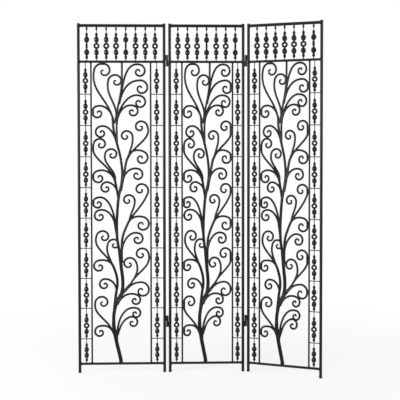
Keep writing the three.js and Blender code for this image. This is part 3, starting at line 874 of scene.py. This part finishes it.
def add_collar_weld(shape, centre, axis, radius, size, seed):
    """A small weld round a bar where it meets another piece."""
    across = axis.orthogonal().normalized()
    other = axis.cross(across).normalized()
    path = []
    radii = []
    for i in range(COLLAR_STEPS):
        angle = math.tau * i / COLLAR_STEPS
        path.append(centre + radius * (math.cos(angle) * across + math.sin(angle) * other))
        radii.append(size * (1 + 0.14 * math.cos(3 * angle + seed) + 0.07 * math.cos(7 * angle + 2 * seed)))
    shape.bar(path, radii, SIDES["collar"], lambda i: path[i] - centre, looped=True)


def add_blob_weld(shape, centre, size, seed):
    """A rounded blob of weld where two bars cross or touch."""
    angles = [math.pi * step / 8 for step in range(1, 8)]
    start = len(shape.points)
    shape.turned([(size * math.sin(angle), -size * math.cos(angle)) for angle in angles], SIDES["blob"])
    stretch = Matrix.Diagonal((1 + 0.12 * math.cos(seed), 1.0, 1 + 0.15 * math.sin(1.7 * seed), 1))
    shape.moved(Matrix.Translation(centre) @ stretch, start)


def add_frame_welds(shape, sizes, panel, width):
    """A weld at both ends of the three rails."""
    for kind, section in RAILS:
        height = middle_height(f"{panel}_{kind}_rail")
        for x, side in ((0, 1), (width, -1)):
            add_rail_weld(shape, section["diameter"] / 2 - 0.4, sizes.weld / MM, x, height, side)


def add_spindle_welds(shape, panel):
    """A weld at the foot and the top of each spindle."""
    low = middle_height(f"{panel}_frieze_rail") + RAIL["diameter"] / 2
    high = middle_height(f"{panel}_top_rail") - TOP_RAIL["diameter"] / 2
    for number in range(1, PANELS[panel]["spindles"] + 1):
        x = spindle_x(panel, number)
        add_collar_weld(shape, Vector((x, 0, low + 0.4)), UP, *COLLARS["spindle_foot"], number)
        add_collar_weld(shape, Vector((x, 0, high - 0.4)), UP, *COLLARS["spindle_top"], number + 2)


def add_ladder_welds(shape, panel, width):
    """Welds at the ends of the inner bars, the drops and the wires, and where a wire meets a drop."""
    _, _, bay_low, bay_high = span_of_bay()
    for i, side in enumerate(("left", "right")):
        stile_x, bar_x, drop_x, inward = side_places(panel, side, width)
        near_stile = stile_x + inward * (STILE["diameter"] / 2 + 0.4)
        near_bar = bar_x - inward * (INNER_BAR / 2 + 0.3)
        for z, seed in ((bay_low, 1 + i), (bay_high, 4 + i)):
            add_collar_weld(shape, Vector((bar_x, 0, z)), UP, *COLLARS["bar_end"], seed)
            add_collar_weld(shape, Vector((drop_x, 0, z)), UP, *COLLARS["drop_end"], seed)
        for number, z in enumerate(wire_heights()):
            seed = 2 * number + i
            add_collar_weld(shape, Vector((near_stile, 0, z)), ALONG, *COLLARS["wire_at_stile"], seed)
            add_collar_weld(shape, Vector((near_bar, 0, z)), ALONG, *COLLARS["wire_at_bar"], seed + 1)
            add_blob_weld(shape, Vector((drop_x, 0, z)), BLOBS["crossing"], seed)


def add_tree_welds(shape, sizes, panel, width):
    """Welds at the tree's foot and crown, at each stem, and where a curl lies against an inner bar."""
    _, _, bay_low, bay_high = span_of_bay()
    place = tree_placer(panel, width)
    foot = place(*BOUGHS[TRUNK][1][0], 0)
    tip = place(*BOUGHS[CROWN][1][-1], 0)
    add_collar_weld(shape, Vector((foot.x, 0, bay_low + 0.5)), UP, *COLLARS["trunk"], 1)
    add_collar_weld(shape, Vector((tip.x, 0, bay_high - 0.4)), UP, *COLLARS["crown"], 3)
    radius = sizes.scroll_bar / 2 / MM
    for number, scroll in enumerate(SCROLLS):
        line = [place(point.x, point.y, radius) for point in scroll_line(scroll)]
        add_blob_weld(shape, line[1], BLOBS["stem"], number)
        outermost = max(line, key=lambda point: abs(point.x - width / 2))
        side = "left" if outermost.x < width / 2 else "right"
        bar_x = side_places(panel, side, width)[1]
        if abs(outermost.x - bar_x) < INNER_BAR / 2 + radius + WELD_REACH:
            between = Vector(((outermost.x + bar_x) / 2, 0, outermost.z))
            add_blob_weld(shape, between, BLOBS["touch"], number)


def welds_shape(sizes, panel, width):
    """Every weld of one panel."""
    shape = Shape()
    add_frame_welds(shape, sizes, panel, width)
    add_spindle_welds(shape, panel)
    add_ladder_welds(shape, panel, width)
    add_tree_welds(shape, sizes, panel, width)
    return shape


# ---- Stage, in metres ------------------------------------------------------------------------------
KEY_LIGHT = {"place": (-3.7, -1.75, 1.7), "size": 1.2}
FILL_LIGHT = {"place": (3.2, -2.8, 2.4), "size": 2.6}
LIT_MIDDLE = (0, 0, 0.9)
# The floor's radius, and how it runs out to white: the share of white near the screen, how far out
# it starts to rise and where all of it is white.
FLOOR = {"radius": 40, "white_share": 0.84, "rises_from": 0.6, "all_white": 2.2}


def seen_directly(tree):
    """1 for what the camera sees directly, in a reflection or through glass, otherwise 0."""
    path = tree.nodes.new("ShaderNodeLightPath")
    total = path.outputs["Is Camera Ray"]
    for name in ("Is Glossy Ray", "Is Transmission Ray"):
        either = add_node(tree, "ShaderNodeMath", operation="MAXIMUM")
        tree.links.new(total, either.inputs[0])
        tree.links.new(path.outputs[name], either.inputs[1])
        total = either.outputs[0]
    return total


def make_sky(scene, settings):
    """Even studio light, with a plain white background."""
    world = bpy.data.worlds.new("studio")
    scene.world = world
    world.use_nodes = True
    tree = world.node_tree
    sky = tree.nodes["Background"]
    sky.inputs["Color"].default_value = (1, 1, 1, 1)
    sky.inputs["Strength"].default_value = settings.sky
    white = add_node(tree, "ShaderNodeBackground", Strength=1.0)
    white.inputs["Color"].default_value = (1, 1, 1, 1)
    blend = tree.nodes.new("ShaderNodeMixShader")
    tree.links.new(seen_directly(tree), blend.inputs["Fac"])
    tree.links.new(sky.outputs[0], blend.inputs[1])
    tree.links.new(white.outputs[0], blend.inputs[2])
    tree.links.new(blend.outputs[0], tree.nodes["World Output"].inputs["Surface"])


def make_floor(settings):
    """A pale floor that holds the screen's shadow and runs out to white."""
    work = bmesh.new()
    bmesh.ops.create_circle(work, cap_ends=True, segments=96, radius=FLOOR["radius"])
    mesh = bpy.data.meshes.new("floor")
    work.to_mesh(mesh)
    work.free()
    floor = bpy.data.objects.new("floor", mesh)
    bpy.context.scene.collection.objects.link(floor)
    material = bpy.data.materials.new("pale_floor")
    material.use_nodes = True
    tree = material.node_tree
    paint = tree.nodes["Principled BSDF"]
    paint.inputs["Base Color"].default_value = (*settings.floor, 1)
    paint.inputs["Roughness"].default_value = 0.9
    paint.inputs["Specular IOR Level"].default_value = 0.1
    white = add_node(tree, "ShaderNodeEmission", Strength=1.0)
    distance = add_node(tree, "ShaderNodeVectorMath", operation="LENGTH")
    where = tree.nodes.new("ShaderNodeTexCoord")
    tree.links.new(where.outputs["Object"], distance.inputs[0])
    reach = ranged(tree, distance.outputs["Value"], FLOOR["white_share"], 1,
                   FLOOR["rises_from"], FLOOR["all_white"])
    amount = add_node(tree, "ShaderNodeMath", operation="MULTIPLY")
    tree.links.new(reach, amount.inputs[0])
    tree.links.new(seen_directly(tree), amount.inputs[1])
    blend = tree.nodes.new("ShaderNodeMixShader")
    tree.links.new(amount.outputs[0], blend.inputs["Fac"])
    tree.links.new(paint.outputs[0], blend.inputs[1])
    tree.links.new(white.outputs[0], blend.inputs[2])
    tree.links.new(blend.outputs[0], tree.nodes["Material Output"].inputs["Surface"])
    mesh.materials.append(material)


def make_light(name, layout, power):
    """A soft square light that faces the middle of the screen."""
    light = bpy.data.lights.new(name, "AREA")
    light.shape = "SQUARE"
    light.size = layout["size"]
    light.energy = power
    holder = bpy.data.objects.new(name, light)
    bpy.context.scene.collection.objects.link(holder)
    holder.location = layout["place"]
    aim = Vector(LIT_MIDDLE) - Vector(layout["place"])
    holder.rotation_euler = aim.to_track_quat("-Z", "Y").to_euler()


def make_camera(scene, settings):
    """The camera at the front, a little to the left."""
    camera = bpy.data.cameras.new("camera")
    camera.lens = settings.lens
    camera.sensor_width = 36
    camera.shift_y = settings.shift
    camera.clip_end = 200
    holder = bpy.data.objects.new("camera", camera)
    scene.collection.objects.link(holder)
    holder.matrix_world = (
        Matrix.Translation(settings.camera_place)
        @ Matrix.Rotation(settings.yaw, 4, "Z")
        @ Matrix.Rotation(math.pi / 2 + settings.pitch, 4, "X")
        @ Matrix.Rotation(settings.roll, 4, "Z")
    )
    scene.camera = holder


# ---- Operators -------------------------------------------------------------------------------------
class SCREEN_OT_stiles(bpy.types.Operator):
    """Make the six upright tubes with their domed tops"""

    bl_idname = "folding_screen.stiles"
    bl_label = "Stiles"
    bl_options = {"REGISTER", "UNDO"}

    def execute(self, context):
        sides = context.scene.screen_sizes.sides
        coat = powder_coat(context.scene.screen_finish)
        for panel, place, width in each_panel():
            for side, x in (("left", 0), ("right", width)):
                node = f"{panel}_{side}_stile"
                low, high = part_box(node)
                shape = stile_shape(high.z / MM, low.z / MM, sides)
                spot = place @ Matrix.Translation((x * MM, 0, 0))
                make_piece(f"{panel}_panel_{side}_stile", shape, spot, panel, coat, [node], sharp=35)
        return {"FINISHED"}


class SCREEN_OT_rails(bpy.types.Operator):
    """Make the nine cross tubes, coped to the stiles"""

    bl_idname = "folding_screen.rails"
    bl_label = "Rails"
    bl_options = {"REGISTER", "UNDO"}

    def execute(self, context):
        sides = context.scene.screen_sizes.sides
        coat = powder_coat(context.scene.screen_finish)
        for panel, place, width in each_panel():
            for kind, section in RAILS:
                node = f"{panel}_{kind}_rail"
                spot = place @ Matrix.Translation((0, 0, middle_height(node) * MM))
                shape = rail_shape(section, width, sides)
                make_piece(f"{panel}_panel_{kind}_rail", shape, spot, panel, coat, [node], sharp=35)
        return {"FINISHED"}


class SCREEN_OT_feet(bpy.types.Operator):
    """Make the six moulded foot caps"""

    bl_idname = "folding_screen.feet"
    bl_label = "Foot Caps"
    bl_options = {"REGISTER", "UNDO"}

    def execute(self, context):
        plastic = moulded_cap(context.scene.screen_finish)
        for panel, place, width in each_panel():
            for side, x in (("left", 0), ("right", width)):
                spot = place @ Matrix.Translation((x * MM, 0, 0))
                make_piece(f"{panel}_panel_{side}_foot_cap", foot_shape(), spot, panel, plastic,
                           [f"{panel}_{side}_foot"], sharp=45)
        return {"FINISHED"}


class SCREEN_OT_spindles(bpy.types.Operator):
    """Make the beaded spindles between the top rail and the frieze rail"""

    bl_idname = "folding_screen.spindles"
    bl_label = "Spindles"
    bl_options = {"REGISTER", "UNDO"}

    def execute(self, context):
        sizes = context.scene.screen_sizes
        coat = powder_coat(context.scene.screen_finish)
        for panel, place, _ in each_panel():
            for number in range(1, PANELS[panel]["spindles"] + 1):
                node = f"{panel}_spindle_{number}"
                low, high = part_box(node)
                turn = math.pi / 2 if number in PANELS[panel]["turned"] else 0
                spot = place @ Matrix.Translation((spindle_x(panel, number) * MM, 0, low.z))
                spot = spot @ Matrix.Rotation(turn, 4, "Z")
                shape = spindle_shape(sizes, 0, (high.z - low.z) / MM)
                make_piece(f"{panel}_panel_spindle_{number}", shape, spot, panel, coat, [node])
        return {"FINISHED"}


class SCREEN_OT_side_ladders(bpy.types.Operator):
    """Make the inner bars with their beaded drops and cross wires"""

    bl_idname = "folding_screen.side_ladders"
    bl_label = "Side Ladders"
    bl_options = {"REGISTER", "UNDO"}

    def execute(self, context):
        coat = powder_coat(context.scene.screen_finish)
        for panel, place, width in each_panel():
            for side in ("left", "right"):
                shape = ladder_shape(context.scene.screen_sizes, panel, side, width)
                make_piece(f"{panel}_panel_{side}_ladder", shape, place, panel, coat,
                           [f"{panel}_{side}_side_ladder"])
        return {"FINISHED"}


class SCREEN_OT_scroll_trees(bpy.types.Operator):
    """Make the tree of bent bars in the middle of each panel"""

    bl_idname = "folding_screen.scroll_trees"
    bl_label = "Scroll Trees"
    bl_options = {"REGISTER", "UNDO"}

    def execute(self, context):
        coat = powder_coat(context.scene.screen_finish)
        for panel, place, width in each_panel():
            shape = tree_shape(context.scene.screen_sizes, tree_placer(panel, width))
            make_piece(f"{panel}_panel_tree", shape, place, panel, coat, [f"{panel}_scroll_tree"])
        return {"FINISHED"}


class SCREEN_OT_hinges(bpy.types.Operator):
    """Make the four lift-off hinges, each of a pin half and a socket half"""

    bl_idname = "folding_screen.hinges"
    bl_label = "Hinges"
    bl_options = {"REGISTER", "UNDO"}

    def execute(self, context):
        coat = powder_coat(context.scene.screen_finish)
        axes = {joint["child"]: joint["pos_m"] for joint in frame["joints"]}
        for outer, side in (("left", -1), ("right", 1)):
            if f"{outer}_panel" not in axes:
                raise RuntimeError(f"the {outer} panel has no joint for its hinges")
            x, y, _ = axes[f"{outer}_panel"]
            for level in ("top", "bottom"):
                hinge = f"{outer}_hinge_{level}"
                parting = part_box(f"{hinge}_socket")[0].z / MM - HINGE["parting"] / 2
                for half, panel, shape in (("socket", outer, socket_shape(side, parting)),
                                           ("pin", "middle", pin_shape(-side, parting))):
                    turn = panel_place(panel)[0].to_3x3().to_4x4()
                    spot = Matrix.Translation((x, y, 0)) @ turn
                    make_piece(f"{outer}_{level}_hinge_{half}", shape, spot, panel, coat,
                               [f"{hinge}_{half}"], sharp=40)
        return {"FINISHED"}


class SCREEN_OT_welds(bpy.types.Operator):
    """Make the weld beads of each panel"""

    bl_idname = "folding_screen.welds"
    bl_label = "Welds"
    bl_options = {"REGISTER", "UNDO"}

    def execute(self, context):
        weld = powder_coat(context.scene.screen_finish, "coated_weld", lumps=0.12 * MM)
        for panel, place, width in each_panel():
            shape = welds_shape(context.scene.screen_sizes, panel, width)
            make_piece(f"{panel}_panel_welds", shape, place, panel, weld, [], sharp=60)
        return {"FINISHED"}


class SCREEN_OT_stage(bpy.types.Operator):
    """Make the floor, the lights and the camera"""

    bl_idname = "folding_screen.stage"
    bl_label = "Stage"
    bl_options = {"REGISTER", "UNDO"}

    def execute(self, context):
        settings = context.scene.screen_stage
        context.scene.view_settings.view_transform = "Standard"
        make_sky(context.scene, settings)
        make_floor(settings)
        make_light("key_light", KEY_LIGHT, settings.key_power)
        make_light("fill_light", FILL_LIGHT, settings.fill_power)
        make_camera(context.scene, settings)
        return {"FINISHED"}


# ---- Panel and registration ------------------------------------------------------------------------
OPERATORS = (
    SCREEN_OT_stiles,
    SCREEN_OT_rails,
    SCREEN_OT_feet,
    SCREEN_OT_spindles,
    SCREEN_OT_side_ladders,
    SCREEN_OT_scroll_trees,
    SCREEN_OT_hinges,
    SCREEN_OT_welds,
    SCREEN_OT_stage,
)


class SCREEN_PT_folding_screen(bpy.types.Panel):
    """The sizes, the finish and the pieces of the folding screen"""

    bl_idname = "SCREEN_PT_folding_screen"
    bl_label = "Folding Screen"
    bl_space_type = "VIEW_3D"
    bl_region_type = "UI"
    bl_category = "Folding Screen"

    def draw(self, context):
        layout = self.layout
        for label, settings in (("Sizes", context.scene.screen_sizes),
                                ("Finish", context.scene.screen_finish),
                                ("Stage", context.scene.screen_stage)):
            box = layout.box()
            box.label(text=label)
            for name in settings.__annotations__:
                box.prop(settings, name)
        for operator in OPERATORS:
            layout.operator(operator.bl_idname)


CLASSES = (ScreenSizes, ScreenFinish, ScreenStage, *OPERATORS, SCREEN_PT_folding_screen)


def register():
    for cls in CLASSES:
        bpy.utils.register_class(cls)
    bpy.types.Scene.screen_sizes = PointerProperty(type=ScreenSizes)
    bpy.types.Scene.screen_finish = PointerProperty(type=ScreenFinish)
    bpy.types.Scene.screen_stage = PointerProperty(type=ScreenStage)


def unregister():
    del bpy.types.Scene.screen_stage
    del bpy.types.Scene.screen_finish
    del bpy.types.Scene.screen_sizes
    for cls in reversed(CLASSES):
        bpy.utils.unregister_class(cls)


def main():
    register()
    make = bpy.ops.folding_screen
    make.stiles()
    make.rails()
    make.feet()
    make.spindles()
    make.side_ladders()
    make.scroll_trees()
    make.hinges()
    make.welds()
    make.stage()


if __name__ == "__main__":
    main()
